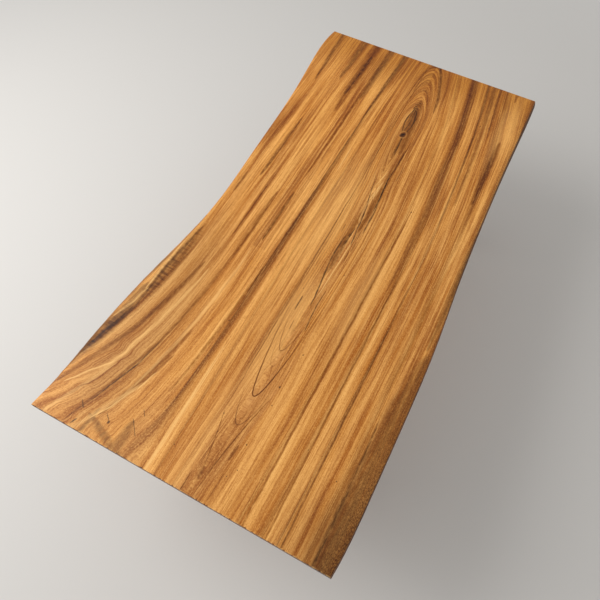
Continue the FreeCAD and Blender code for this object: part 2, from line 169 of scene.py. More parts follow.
# the skin under the bark: shallow flutes and pits, always inwards
FLUTE_DEPTH = 0.0016
SKIN_LOW, SKIN_HIGH, SKIN_END = SLAB_UNDER + 0.001, SLAB_TOP - 0.002, SLAB_HALF_LENGTH - 0.002
for vertex in block.verts:
    x, y, z = vertex.co
    if SKIN_LOW < z < SKIN_HIGH and abs(x) < SKIN_END:
        side = 1 if y > 0 else -1
        if abs(y - live_edge(x, z, side)) < 1e-4:
            flute = noise.noise(Vector((x * 9, z * 30, side)))
            flute += 0.5 * noise.noise(Vector((x * 34, z * 60, side)))
            reach = min(1, (SKIN_HIGH - z) / 0.01, (z - SKIN_LOW) / 0.008)
            vertex.co.y -= side * FLUTE_DEPTH * reach * (0.75 + flute)


def through(points, place):
    """A smooth line through points, read at a place; it runs straight on past its ends."""
    last = len(points) - 2
    number = next((n for n in range(last) if place < points[n + 1][0]), last)
    (x0, y0), (x1, y1) = points[number], points[number + 1]
    before = points[max(number - 1, 0)]
    after = points[min(number + 2, last + 1)]
    share = (place - x0) / (x1 - x0)
    leave = (y1 - before[1]) / (x1 - before[0]) * (x1 - x0)
    arrive = (after[1] - y0) / (after[0] - x0) * (x1 - x0)
    turn = y0 - y1
    bent = -3 * turn - 2 * leave - arrive + share * (2 * turn + leave + arrive)
    return y0 + share * (leave + share * bent)


def step_between(low, high, value):
    """0 below low, 1 above high, and a smooth rise between them."""
    share = max(0, min(1, (value - low) / (high - low)))
    return share * share * (3 - 2 * share)


# The heart of the log wanders along the slab, and the saw passes it at a changing depth: that
# closes the rings into long ovals about the knot and into arrow heads at the wide end.
HEART_LINE = (
    (-1.1, -0.056), (-0.9, -0.068), (-0.72, -0.081), (-0.44, -0.086), (-0.2, -0.095), (0, -0.1),
    (0.2, -0.092), (0.4, -0.076), (0.62, -0.066), (0.85, -0.056), (1.1, -0.04))
HEART_DEPTH = (
    (-1.1, 0.06), (-0.95, 0.047), (-0.83, 0.038), (-0.72, 0.031), (-0.6, 0.024), (-0.44, 0.014),
    (-0.2, 0.007), (0, 0.005), (0.2, 0.01), (0.31, 0.019), (0.42, 0.012), (0.52, 0.005), (0.62, 0.002),
    (0.74, 0.009), (0.84, 0.038), (0.96, 0.06), (1.1, 0.084))
# the butt of the log flares towards the wavy side of the wide end
FLARE_ALONG = (
    (-1.1, 0.205), (-1, 0.168), (-0.9, 0.127), (-0.8, 0.088), (-0.65, 0.05), (-0.5, 0.021), (-0.35, 0.004),
    (-0.25, 0), (1.1, 0))
FLARE_ACROSS = (
    (0, 0), (0.08, 0), (0.13, 0.12), (0.19, 0.34), (0.28, 0.5), (0.36, 0.66), (0.43, 0.8),
    (0.5, 1), (0.6, 1.25))
# below the heart the bands climb towards the narrow end
CLIMB = ((-1.1, 0), (0, -0.004), (0.2, 0), (0.5, 0.018), (0.8, 0.042), (1.1, 0.068))
HEART_AT_MIDDLE = -0.095


def grain_place(x, y):
    """Where a point lies in the log: its distance to the side of the heart, with the bends taken out."""
    heart = through(HEART_LINE, x)
    bend = (heart - HEART_AT_MIDDLE) * (1 - step_between(0.03, 0.15, abs(y - heart)))
    flare = max(0, through(FLARE_ALONG, x)) * max(0, through(FLARE_ACROSS, max(0, y)))
    climb = through(CLIMB, x) * step_between(0.04, 0.13, heart - y) * (1 - 0.7 * step_between(0.4, 0.55, -y))
    return y - HEART_AT_MIDDLE - bend - flare - climb


slab = new_piece(block, "slab", "solid_wood", "table", 40, "slab_top")
grain = slab.data.attributes.new("grain", "FLOAT_VECTOR", "POINT")
rims = slab.data.attributes.new("rims", "FLOAT_VECTOR", "POINT")
for index, vertex in enumerate(slab.data.vertices):
    x, y, z = vertex.co
    grain.data[index].vector = (x, grain_place(x, y), through(HEART_DEPTH, x))
    wavy = live_edge(x, SLAB_TOP - ARRIS, 1)
    straight = live_edge(x, SLAB_TOP - ARRIS, -1)
    rims.data[index].vector = (wavy - y, y - straight, SLAB_HALF_LENGTH - abs(x))


def finish(name):
    """A new finish: its material, and its shader ready to be set."""
    material = bpy.data.materials.new(name)
    material.use_nodes = True
    return material, material.node_tree.nodes["Principled BSDF"]


def put(tree, kind, *inputs, **settings):
    """Add a shader node, set it up, and feed its inputs in order; None leaves an input alone."""
    made = tree.nodes.new("ShaderNode" + kind)
    for setting, value in settings.items():
        setattr(made, setting, value)
    for socket, value in zip(made.inputs, inputs):
        if isinstance(value, bpy.types.NodeSocket):
            tree.links.new(value, socket)
        elif value is not None:
            socket.default_value = value
    return made


def reckon(operation, *inputs):
    """One step of arithmetic, in the tree that its values come from."""
    tree = next(value.id_data for value in inputs if isinstance(value, bpy.types.NodeSocket))
    return put(tree, "Math", *inputs, operation=operation).outputs[0]


def minus(value, taken):
    return reckon("SUBTRACT", value, taken)


def times(value, *factors):
    for factor in factors:
        value = reckon("MULTIPLY", value, factor)
    return value


def most(value, other):
    return reckon("MAXIMUM", value, other)


def scaled(value, factor, added):
    """A value times a factor, with an amount added."""
    return reckon("MULTIPLY_ADD", value, factor, added)


def rise(value, low, high):
    """0 at low, 1 at high, and a smooth rise between them."""
    return put(
        value.id_data, "MapRange", value, low, high, 0, 1,
        interpolation_type="SMOOTHSTEP", clamp=False).outputs[0]


def blend(mask, under, over, way="MIX"):
    """One colour over another, as far as the mask says; a mix node takes its colours last."""
    inputs = [mask] + [None] * 5 + [under, over]
    return put(mask.id_data, "Mix", *inputs, data_type="RGBA", blend_type=way).outputs[2]


def tone(red, green, blue):
    """A colour as a painter names it, 0 to 255 a channel, in the light values that a shader wants."""
    def light(level):
        level /= 255
        return level / 12.92 if level <= 0.04045 else ((level + 0.055) / 1.055) ** 2.4
    return light(red), light(green), light(blue), 1


def new_group(name, inputs, outputs):
    """An effect for several materials: a node group with named values, of which a place is a vector."""
    tree = bpy.data.node_groups.new(name, "ShaderNodeTree")
    for way, labels in (("INPUT", inputs), ("OUTPUT", outputs)):
        for label in labels:
            kind = "NodeSocketVector" if label == "Place" else "NodeSocketFloat"
            tree.interface.new_socket(label, in_out=way, socket_type=kind)
    entry = tree.nodes.new("NodeGroupInput")
    leave = tree.nodes.new("NodeGroupOutput")
    return tree, entry.outputs, leave.inputs


# a stripe drawn with the grain from one place to another, tapered and a little uneven
STRIPE_VALUES = ("From X", "From Y", "To X", "To Y", "Width", "Wander", "Bow")
stripe_group, given, result = new_group("grain_stripe", ("X", "Y") + STRIPE_VALUES, ("Mask",))
g = stripe_group
run = minus(given["To X"], given["From X"])
share = reckon("DIVIDE", minus(given["X"], given["From X"]), run)
share = reckon("MINIMUM", most(share, 0), 1)
fall = minus(given["To Y"], given["From Y"])
line = scaled(share, fall, given["From Y"])
course = scaled(given["X"], 11, times(given["From Y"], 97))
sway = put(g, "TexNoise", None, course, 1, 2, 0.5, noise_dimensions="1D").outputs[0]
sway = times(minus(sway, 0.5), given["Wander"])
taper = times(share, minus(1, share), 4)
line = reckon("ADD", line, times(taper, given["Bow"]))
off = reckon("ABSOLUTE", minus(reckon("ADD", given["Y"], sway), line))
taper = reckon("POWER", taper, 0.45)
width = most(times(given["Width"], taper), 0.00001)
inside = rise(reckon("DIVIDE", off, width), 1, 0.15)
g.links.new(times(inside, rise(taper, 0.02, 0.5)), result["Mask"])

# oiled hardwood: its colours and its grain follow the rings of the log
oiled_wood, shader = finish("oiled_wood")
w = oiled_wood.node_tree
x, y, z = put(w, "SeparateXYZ", put(w, "TexCoord").outputs["Object"]).outputs
away = put(w, "SeparateXYZ", put(w, "TexCoord").outputs["Normal"]).outputs


def held(name):
    """The three values that an attribute of the slab holds."""
    attribute = put(w, "Attribute", attribute_name=name)
    return put(w, "SeparateXYZ", attribute.outputs["Vector"]).outputs


def slant(across, up):
    """The length of the long side of a right angle."""
    return reckon("SQRT", reckon("ADD", times(across, across), times(up, up)))


# the rings: distance from the heart of the log, bent a little by chance
grain_x, grain_v, heart_depth = held("grain")
below = minus(heart_depth, minus(SLAB_TOP, z))
side = reckon("SIGN", grain_v)


def soft_noise(scale_x, scale_v, detail, across=grain_v, roughness=0.5, shift=0, through_depth=False):
    """Chance that runs with the grain: scales are how often it changes in a metre."""
    level = scaled(z, scale_v, shift) if through_depth else shift
    spot = put(w, "CombineXYZ", times(grain_x, scale_x), times(across, scale_v), level)
    return put(w, "TexNoise", spot.outputs[0], None, 1, detail, roughness).outputs[0]


def shaken(scale_x, scale_v, detail, reach, shift=0):
    """A shift to either side, by chance, of up to about half its reach."""
    return times(minus(soft_noise(scale_x, scale_v, detail, shift=shift), 0.5), reach)


curly = times(rise(x, -0.45, -0.85), rise(y, 0.12, 0.34))
waver = shaken(6, 22, 2, 0.0026, shift=3.1)
rings = slant(grain_v, below)
for shift in (
    shaken(1.1, 4, 2, 0.012), waver, shaken(30, 60, 1, 0.0012, shift=6.4),
    times(shaken(15, 7, 2, 0.03, shift=9.2), curly)):
    rings = reckon("ADD", rings, shift)


def oval(centre_x, centre_y, half_length, half_width, upright=0):
    """Distance from an oval's middle, 1 at its rim."""
    along = minus(x, centre_x)
    across = minus(reckon("ADD", y, times(along, upright)), centre_y)
    return slant(reckon("DIVIDE", along, half_length), reckon("DIVIDE", across, half_width))


def spot(core, *place):
    """An oval spot, full within a share of its size and fading to its rim."""
    return rise(oval(*place), 1, core)


# the rings swing out round the knot, and run together where the heart is deep
KNOT_X, KNOT_Y = 0.621, -0.067
swing = times(spot(0, 0.66, -0.066, 0.24, 0.075), 0.013)
rings = most(minus(rings, swing), 0)
outward = times(rings, side)
other_way = times(outward, -1)
off_heart = reckon("ABSOLUTE", grain_v)
buried = times(reckon("ABSOLUTE", below), rise(off_heart, 0.12, 0), rise(x, -0.4, -0.72))
across_grain = times(most(minus(rings, buried), 0), side)


def banding(value, low, high, stops):
    """Bands of colour across a distance in millimetres: each stop is where it is and its tone."""
    share = put(w, "MapRange", value, low / 1000, high / 1000, 0, 1, clamp=False).outputs[0]
    made = put(w, "ValToRGB", share)
    places = made.color_ramp.elements
    for number, (where, colour) in enumerate(stops):
        at = (where - low) / (high - low)
        if number < 2:
            places[number].position = at
        else:
            places.new(at)
        places[number].color = colour
    return made.outputs[0]


STRAW = tone(237, 174, 96)
HONEY = tone(216, 149, 71)
TAN = tone(199, 130, 54)
AMBER = tone(181, 108, 31)
BROWN = tone(152, 90, 22)
UMBER = tone(122, 68, 12)
ROSE = tone(197, 133, 72)
RUST = tone(160, 98, 28)

to_the_wavy_side = banding(outward, 60, 680, (
    (60, ROSE), (84, BROWN), (88, TAN), (108, STRAW), (122, AMBER), (140, AMBER), (152, HONEY), (162, AMBER),
    (168, BROWN), (173, HONEY), (196, STRAW), (208, TAN), (222, BROWN), (226, UMBER), (230, AMBER),
    (244, STRAW), (262, HONEY), (290, TAN), (322, STRAW), (342, HONEY), (362, AMBER), (376, TAN),
    (400, STRAW), (417, AMBER), (430, STRAW), (455, AMBER), (480, HONEY), (505, STRAW), (525, AMBER),
    (545, HONEY), (585, STRAW), (640, AMBER)))
to_the_straight_side = banding(other_way, 30, 500, (
    (30, ROSE), (52, TAN), (62, ROSE), (70, AMBER), (76, TAN), (95, STRAW), (116, HONEY), (135, TAN),
    (150, HONEY), (159, RUST), (166, AMBER), (172, STRAW), (190, HONEY), (206, TAN), (222, AMBER),
    (240, BROWN), (247, TAN), (257, STRAW), (275, TAN), (285, AMBER), (290, UMBER), (295, TAN), (310, HONEY),
    (328, STRAW), (348, AMBER), (362, TAN), (385, BROWN), (396, TAN), (408, STRAW), (424, AMBER),
    (440, HONEY), (470, TAN)))
about_the_heart = banding(rings, 0, 130, (
    (0, TAN), (9, ROSE), (12, TAN), (14, BROWN), (16, ROSE), (18.5, TAN), (20, BROWN), (22, ROSE),
    (28.5, TAN), (29.8, BROWN), (31.5, ROSE), (37, TAN), (38.2, BROWN), (40, HONEY), (44, AMBER),
    (47, HONEY), (52, TAN), (54, BROWN), (57, HONEY), (62.5, TAN), (64.5, BROWN), (67, HONEY), (71, TAN),
    (73, BROWN), (76, HONEY), (81.5, TAN), (83.5, BROWN), (87, HONEY), (99, STRAW), (104, AMBER), (112, TAN),
    (130, HONEY)))
quiet = times(rise(x, -0.42, -0.74), 0.66)
colour = blend(quiet, about_the_heart, tone(205, 144, 80))
beside_heart = rise(off_heart, 0.002, 0.05)
on_wavy_side = times(rise(outward, 0.062, 0.115), beside_heart)
colour = blend(on_wavy_side, colour, to_the_wavy_side)
on_straight_side = times(rise(other_way, 0.045, 0.085), beside_heart)
colour = blend(on_straight_side, colour, to_the_straight_side)

# bands come and go along the log, and one starts abruptly
fade = rise(soft_noise(1.6, 9, 3, outward, shift=5.3), 0.42, 0.68)
colour = blend(times(fade, 0.26), colour, tone(206, 144, 70))
butt = times(rise(x, -0.8, -1.05), rise(y, 0.1, 0.15), rise(y, 0.26, 0.2), 0.7)
colour = blend(butt, colour, tone(206, 146, 80))
ragged_x = reckon("ADD", x, shaken(60, 60, 1, 0.02, shift=4.4))
flitch = times(
    rise(ragged_x, -0.196, -0.188), rise(y, 0.172, 0.184), rise(y, 0.232, 0.22),
    rise(x, 1.3, 0.5), 0.92)
colour = blend(flitch, colour, tone(184, 114, 42))

# growth lines, fibres and pores: each is darker where chance runs high and lighter where it runs low
broad = soft_noise(1.4, 20, 2, across_grain, 0.5, shift=4.1)
lines = soft_noise(2.2, 95, 3, across_grain, 0.55, shift=1.7)
strands = soft_noise(3.5, 190, 2, across_grain, 0.6, shift=2.2)
fine_lines = soft_noise(5, 330, 3, across_grain, 0.6, shift=7.7)
fibres = soft_noise(26, 1100, 2, across_grain, 0.6, shift=2.9, through_depth=True)
mottle = soft_noise(45, 130, 3, across_grain, 0.6, shift=8.3, through_depth=True)
sparkle = soft_noise(150, 520, 3, across_grain, 0.65, shift=0.9, through_depth=True)
pores = soft_noise(110, 1500, 1, across_grain, 0.5, shift=5.9, through_depth=True)
pits = rise(pores, 0.68, 0.76)


def deepen(amount, mask, under, shade=tone(190, 155, 90)):
    """Darken by multiplying, so that the colour stays warm."""
    return blend(times(mask, amount), under, shade, "MULTIPLY")


def stain(amount, mask, under, shade):
    return blend(times(mask, amount), under, shade)


def brighten(amount, mask, under):
    return stain(amount, mask, under, tone(249, 190, 110))


away_from_flare = rise(x, -0.6, 0.1)
bolder = scaled(away_from_flare, 0.6, 1)
colour = deepen(0.5, times(rise(broad, 0.5, 0.7), bolder), colour)
colour = brighten(0.34, times(rise(broad, 0.5, 0.3), bolder), colour)
colour = deepen(0.5, rise(lines, 0.48, 0.7), colour)
colour = brighten(0.36, rise(lines, 0.5, 0.28), colour)
near_heart = rise(reckon("ABSOLUTE", outward), 0.15, 0.085)
near_heart = times(near_heart, scaled(rise(x, 0.1, 0.8), 0.9, 0.12))
ring_lines = rise(reckon("SINE", times(rings, 1450)), 0.1, 0.95)
ring_lines = times(near_heart, ring_lines, rise(lines, 0.3, 0.55))
colour = deepen(0.7, ring_lines, colour)
colour = deepen(0.66, times(rise(strands, 0.5, 0.72), away_from_flare), colour)
colour = brighten(0.44, times(rise(strands, 0.48, 0.28), away_from_flare), colour)
for chance, dark, dark_from, dark_to, light, light_from, light_to in (
    (fine_lines, 0.72, 0.49, 0.7, 0.4, 0.48, 0.28), (mottle, 0.2, 0.48, 0.74, 0.13, 0.48, 0.26),
    (sparkle, 0.62, 0.5, 0.7, 0.4, 0.48, 0.3)):
    colour = deepen(dark, rise(chance, dark_from, dark_to), colour)
    colour = brighten(light, rise(chance, light_from, light_to), colour)
colour = deepen(0.5, rise(fibres, 0.5, 0.72), colour)
colour = deepen(0.55, pits, colour, tone(150, 104, 60))

# broad light and shade: the flare and the narrow end are darker, the wood along the heart is paler
colour = deepen(0.9, spot(0.35, -0.62, 0.4, 0.66, 0.17), colour, tone(226, 228, 236))
colour = deepen(1, rise(x, 0.8, 1.06), colour, tone(222, 208, 168))
colour = deepen(1, rise(x, 0.1, 0.65), colour, tone(255, 249, 234))
corner = times(rise(x, -0.8, -1.04), rise(y, -0.3, -0.46))
colour = deepen(1, corner, colour, tone(226, 224, 222))
for amount, *place in (
    (0.34, -0.44, -0.052, 0.36, 0.062), (0.24, -0.2, -0.25, 0.32, 0.062),
    (0.24, 0.85, -0.46, 0.3, 0.06), (0.24, 0.12, 0.02, 0.44, 0.11)):
    colour = brighten(amount, spot(0.3, *place), colour)

# what only this slab has: stripes from x, y to x, y, with their width, wander and bow in millimetres
STRONG, FAINT, STAIN = tone(138, 114, 64), tone(176, 152, 100), tone(156, 146, 130)
INK, LIGHT = tone(34, 22, 10), tone(242, 190, 116)
MARKS = (
    ("deep brown", STRONG, "MULTIPLY", 0.92, y, (
        (-160, 206, 120, 206, 10, 3), (120, 375, 510, 372, 13.5, 5), (740, 433, 1450, 462, 17, 6, 4),
        (800, 334, 1600, 326, 26, 8), (720, 272, 1020, 262, 18, 8), (600, 133, 1700, 108, 13, 4),
        (700, 127, 1600, 114, 8, 6), (-500, 139, 900, 129, 4.5, 4), (-830, -19, 1300, -4, 2.6, 6),
        (-1300, -394, -250, -392, 5.5, 4), (-1000, 397, -787, 322, 3.4, 4), (-1250, -502, -600, -498, 10, 6),
        (800, -138, 1200, -10, 13, 8, -22), (470, -75, 620, -70, 9, 6), (350, -112, 600, -118, 5, 6),
        (700, -58, 800, -52, 6, 8), (-660, 474, -200, 444, 11, 6, 10), (-900, 552, -600, 470, 16, 8, -6),
        (-447, -71, -405, -70, 3, 1), (-102, -122, -40, -119, 2.6, 1), (-45, -126, 12, -126, 2.2, 1),
        (25, -123, 65, -122, 3, 1), (200, -124, 350, -114, 6, 3))),
    ("soft brown", FAINT, "MULTIPLY", 1, y, (
        (-190, 322, 100, 322, 6, 6), (-300, 268, 90, 268, 14, 6), (600, 262, 1300, 262, 34, 10),
        (392, -465, 785, -462, 22, 6), (1042, -442, 1160, -442, 10, 6), (-1300, -340, -50, -336, 6, 6),
        (-850, 178, -250, 140, 10, 4, -8), (200, 203, 1300, 200, 12, 6), (-1100, 440, -640, 300, 10, 5, -10),
        (-800, 334, -200, 272, 10, 5, -18), (-1030, 345, -720, 238, 10, 5, -6),
        (-1040, 570, -700, 424, 17, 6, -4), (-840, 476, -340, 352, 16, 6, -18),
        (50, -112, 550, -112, 20, 10), (-50, -80, 200, -90, 16, 10), (-1300, -258, 300, -262, 7, 6),
        (500, -100, 860, -62, 30, 10), (-1100, -76, -700, -142, 3.6, 3, 10),
        (-1050, -66, -800, -20, 3.6, 3, -3), (-1130, -31, -1030, -33, 4, 2),
        (-1090, -124, -990, -128, 3.4, 2), (-1045, -62, -998, -60, 7, 4), (-950, -118, -890, -124, 8, 4),
        (-1020, 338, -600, 236, 16, 6, -12), (480, -143, 560, -142, 3, 1))),
    ("grey stain", STAIN, "MULTIPLY", 0.8, y, (
        (0, 431, 120, 431, 10, 4), (-170, -88, 40, -88, 13, 4), (720, 193, 1400, 190, 24, 6),
        (-1125, 170, -1030, 370, 55, 20), (-1110, 205, -1040, 350, 30, 12), (-1240, 230, -980, 225, 30, 16),
        (-1150, 372, -1000, 352, 12, 8), (-120, -80, -15, -84, 8, 3), (-1450, -530, -300, -556, 60, 12, 20),
        (-300, -545, 300, -540, 18, 10), (-970, 566, -520, 492, 36, 14, -16))),
    ("band in the grain", STRONG, "MULTIPLY", 0.62, outward, (
        (-160, -222, 1900, -220, 24, 6), (200, -291, 1600, -291, 9, 4), (350, -318, 1700, -318, 20, 10),
        (750, -345, 1500, -345, 10, 6))),
    ("light band", LIGHT, "MIX", 0.5, y, (
        (-1250, 592, -840, 400, 13, 6, -4), (-960, 446, -360, 320, 12, 6, -16),
        (-1250, 476, -860, 276, 12, 6, -4), (-960, 318, -200, 224, 11, 6, -26))),
    ("light line", LIGHT, "MIX", 0.7, y, (
        (300, 100, 442, 100, 4, 2), (-720, 532, -540, 477, 7.5, 12, -6), (-570, 480, -290, 474, 7.5, 10, 4),
        (-985, 522, -840, 410, 7, 14), (-300, -100, 20, -112, 4, 4), (100, -93, 340, -100, 6, 4, 10),
        (-1050, 365, -800, 252, 6, 12, -10), (600, -70, 614, -70, 10, 0), (-1300, 102, -600, 100, 10, 4),
        (295, -76, 400, -94, 3, 1), (190, -91, 310, -99, 3, 1))),
    ("black mineral line", INK, "MIX", 0.92, y, (
        (-330, -95, -130, -75, 4.5, 5, -2), (-190, -79, 20, -75, 5.3, 4, 4),
        (-15, -111, 100, -96, 3.6, 2, -3), (60, -104, 230, -82, 4, 3, -3), (190, -86, 360, -54, 2.6, 3, -2),
        (-20, -90, 70, -94, 3, 3), (55, -131, 225, -126, 5, 4, -2), (170, -124, 395, -106, 4, 5, -2),
        (-1028, 190, -978, 234, 3.4, 0), (-957, 202, -936, 220, 3, 0), (-1029, 402, -1005, 424, 5, 0),
        (-1092, 410, -1066, 399, 4.4, 0), (-1024, 300, -1004, 322, 3.4, 0), (-1000, 398, -800, 330, 2.6, 2),
        (-850, 345, -700, 312, 3, 2, -3), (-370, -52, -300, -52, 3.5, 3),
        (-430, -126, -300, -116, 3.5, 5, 2), (-320, -116, -240, -118, 2.6, 4), (25, -52, 70, -52, 1.9, 2),
        (490, -80, 616, -70, 4, 4), (628, -58, 806, -60, 5, 8, 14), (632, -74, 812, -58, 4.6, 8, -12),
        (690, -66, 800, -60, 4.8, 10), (640, -62, 730, -68, 3.6, 10), (812, -46, 838, -70, 4.6, 2, 6),
        (788, -48, 818, -60, 3.6, 2, 4), (655, -80, 760, -84, 2.4, 4), (362, -143, 446, -143, 2.1, 3))),
)
broken = scaled(rise(fine_lines, 0.66, 0.44), 0.55, 0.45)
butt_grain = rise(reckon("ABSOLUTE", away[0]), 0.3, 0.8)
broken = times(
    broken, scaled(butt_grain, -0.75, 1), scaled(rise(mottle, 0.3, 0.55), 0.4, 0.6))
for label, shade, way, strength, where, stripes in MARKS:
    mask = 0
    for stripe in stripes:
        made = put(w, "Group", x, where, node_tree=stripe_group, label=label)
        for name, value in zip(STRIPE_VALUES, stripe):
            made.inputs[name].default_value = value / 1000
        mask = most(mask, made.outputs["Mask"])
    mask = reckon("MINIMUM", times(mask, broken, strength), 1)
    colour = blend(mask, colour, shade, way)

# arrow heads: rings that close in a nose on the heart line and open towards the narrow end
NOSE_Y = -0.084
bent_y = scaled(waver, 1.6, y)


def arrow_head(nose_x, opening, width, end):
    """A narrow line along a parabola, from its nose to where it fades."""
    beside = minus(bent_y, NOSE_Y)
    beside = times(beside, beside)
    steepness = reckon("SQRT", scaled(beside, 4, opening * opening))
    off = reckon("ABSOLUTE", minus(beside, times(minus(x, nose_x), opening)))
    line = rise(reckon("DIVIDE", off, steepness), width, width * 0.3)
    return times(line, rise(x, end, nose_x))


for strength, *head in (
    (1, -0.724, 0.009, 0.0034, -0.2), (0.6, -0.534, 0.01, 0.0026, -0.3),
    (0.35, -0.6, 0.009, 0.0022, -0.4), (0.6, -0.835, 0.015, 0.0026, -0.66)):
    colour = deepen(strength, arrow_head(*head), colour, tone(142, 112, 62))

# the knot itself: a ring of shadow, a red-brown eye and a dark pith
colour = deepen(0.6, spot(0.2, 0.6, -0.068, 0.27, 0.045), colour, tone(186, 160, 108))
eye_rim = oval(0.69, -0.063, 0.095, 0.021)
eye_rings = reckon("SINE", times(reckon("ADD", eye_rim, fine_lines), 9))
eye_rings = scaled(reckon("ABSOLUTE", eye_rings), 0.45, 0.4)
colour = blend(times(rise(eye_rim, 1.05, 0.5), eye_rings, 0.66), colour, tone(124, 72, 28))
halo = minus(spot(0.85, KNOT_X, KNOT_Y, 0.026, 0.019), spot(0.8, KNOT_X, KNOT_Y, 0.018, 0.013))
colour = stain(0.3, halo, colour, tone(214, 150, 78))
ragged = times(minus(mottle, 0.5), 1.6)
for pith, full, shade in (
    (oval(KNOT_X, KNOT_Y, 0.019, 0.013, 0.15), 0.6, tone(84, 40, 12)),
    (oval(KNOT_X + 0.001, KNOT_Y, 0.011, 0.008, 0.4), 0.4, tone(34, 17, 7))):
    pith = rise(reckon("ADD", pith, ragged), 1.1, full)
    colour = stain(0.9, pith, colour, shade)

# hatched shade across the grain under the wavy edge, and pin knots
ticks = put(w, "CombineXYZ", times(x, 110), times(y, 16), 0).outputs[0]
ticks = rise(put(w, "TexNoise", ticks, None, 1, 2, 0.6).outputs[0], 0.42, 0.66)
hatched = spot(0.3, -0.41, 0.455, 0.27, 0.038, 0.06)
hatched = most(hatched, spot(0.2, -0.425, 0.455, 0.1, 0.036))
hatched = most(hatched, spot(0.3, -0.765, 0.522, 0.19, 0.042, 0.24))
hatched = times(hatched, scaled(ticks, 0.5, 0.34))
colour = deepen(1, hatched, colour, tone(122, 96, 60))
PIN_KNOTS = (
    (-822, -25, 3), (-878, -146, 3.4), (-724, -155, 3), (-655, -147, 5), (-512, -163, 3.4), (-995, -140, 2.6),
    (-962, -161, 2.6), (-518, 139, 3.4), (-799, -332, 2.6), (-845, -457, 3), (-987, 64, 2.6), (-150, -150, 3),
    (246, -262, 4), (246, 102, 2.4), (-272, -38, 2.4), (-1028, 298, 7), (829, -352, 4), (833, -390, 3))
specks = 0
for pin_x, pin_y, size in PIN_KNOTS:
    pin = oval(pin_x / 1000, pin_y / 1000, size / 1000, size / 1400)
    specks = most(specks, rise(pin, 1.2, 0.5))
colour = stain(0.85, specks, colour, tone(70, 38, 14))

# the live edge: weathered sapwood, darker where a film of inner bark is left, and near black along the
# straight side towards the narrow end
on_edge = times(rise(reckon("ABSOLUTE", away[1]), 0.3, 0.6), rise(z, 0.7493, 0.7465))
film = put(w, "CombineXYZ", times(x, 7), times(z, 28), y).outputs[0]
film = put(w, "TexNoise", film, None, 1, 5, 0.6).outputs[0]
skin = blend(rise(film, 0.38, 0.6), tone(168, 110, 54), tone(92, 56, 26))
skin = blend(times(rise(sparkle, 0.5, 0.7), 0.5), skin, tone(70, 44, 22))
# near black along the straight side's live edge towards the narrow end
darkened_straight_stretch = times(rise(y, 0, -0.1), rise(x, 0.42, 0.6), 0.85)
skin = blend(darkened_straight_stretch, skin, tone(44, 30, 18))
colour = stain(0.72, on_edge, colour, skin)

# along the straight edge the sapwood is grey and sandy, and darkest at the wide end's corner
from_straight, from_end = held("rims")[1:]
sandy = scaled(rise(sparkle, 0.4, 0.62), 0.55, 0.45)
corner_shade = times(rise(from_straight, 0.085, 0.02), rise(x, -0.3, -0.98), sandy)
colour = deepen(1, corner_shade, colour, tone(150, 128, 92))
rim_shade = times(rise(from_straight, 0.026, 0.004), sandy)
colour = deepen(0.75, rim_shade, colour, tone(160, 138, 112))
# the end faces darker: end grain darkened by the oil, and painted shade on them as well
colour = deepen(0.9, butt_grain, colour, tone(146, 112, 74))

# the arris at the ends: a broken pale line painted on as a highlight, with specks of stain in the open end
# grain
at_end = rise(from_end, 0.0042, 0.0012)
# painted highlight: a pale broken line along the top arris at both ends
arris_highlight = times(at_end, rise(z, 0.7462, 0.748), rise(mottle, 0.6, 0.4), 0.45)
colour = blend(arris_highlight, colour, tone(238, 190, 120))
specked = times(at_end, rise(z, 0.745, 0.7475), rise(mottle, 0.56, 0.66))
colour = blend(specked, colour, tone(70, 42, 20))
w.links.new(colour, shader.inputs["Base Color"])


def raise_skin(tree, shader, height, strength, distance):
    """A bump on a shader, from a height and how deep it goes."""
    bump = put(tree, "Bump")
    bump.inputs["Strength"].default_value = strength
    bump.inputs["Distance"].default_value = distance
    tree.links.new(height, bump.inputs["Height"])
    tree.links.new(bump.outputs[0], shader.inputs["Normal"])


# the feel: raised grain and open pores under the oil, and the bare skin of the log
relief = scaled(fibres, 0.5, times(fine_lines, 0.7))
relief = scaled(pits, -0.6, relief)
relief = scaled(times(on_edge, film), 7, relief)
raise_skin(w, shader, relief, 0.5, 0.0003)
dull = scaled(fine_lines, 0.16, 0.34)
dull = scaled(rise(pores, 0.66, 0.76), 0.1, dull)
w.links.new(scaled(on_edge, 0.22, dull), shader.inputs["Roughness"])
shader.inputs["Specular IOR Level"].default_value = 0.2
slab.data.materials.append(oiled_wood)

# --- channels and their screws
# Three folded steel channels keep the slab from cupping.  They are powder-coated black, lie
# flush in their housings, and are each held by three button-head screws.

# where handling and spanners rub a finish: a broken line along every outer edge
rubbed_edges, given, result = new_group("rubbed_edges", ("Place", "Reach"), ("Mask",))
g = rubbed_edges
rounded = put(g, "Bevel", given["Reach"], samples=4).outputs[0]
facing = put(g, "NewGeometry").outputs["True Normal"]
agree = put(g, "VectorMath", rounded, facing, operation="DOT_PRODUCT").outputs["Value"]
chance = put(g, "TexNoise", given["Place"], None, 420, 3, 0.6).outputs[0]
g.links.new(times(rise(agree, 0.985, 0.88), rise(chance, 0.4, 0.62)), result["Mask"])

# the skin of a coat, a plating or a moulding: slow clouds in its tone, and its fine texture
surface_skin, given, result = new_group("surface_skin", ("Place", "Broad", "Fine"), ("Broad", "Fine"))
g = surface_skin
for scale in ("Broad", "Fine"):
    clouds = put(g, "TexNoise", given["Place"], None, given[scale], 3, 0.55)
    g.links.new(clouds.outputs[0], result[scale])


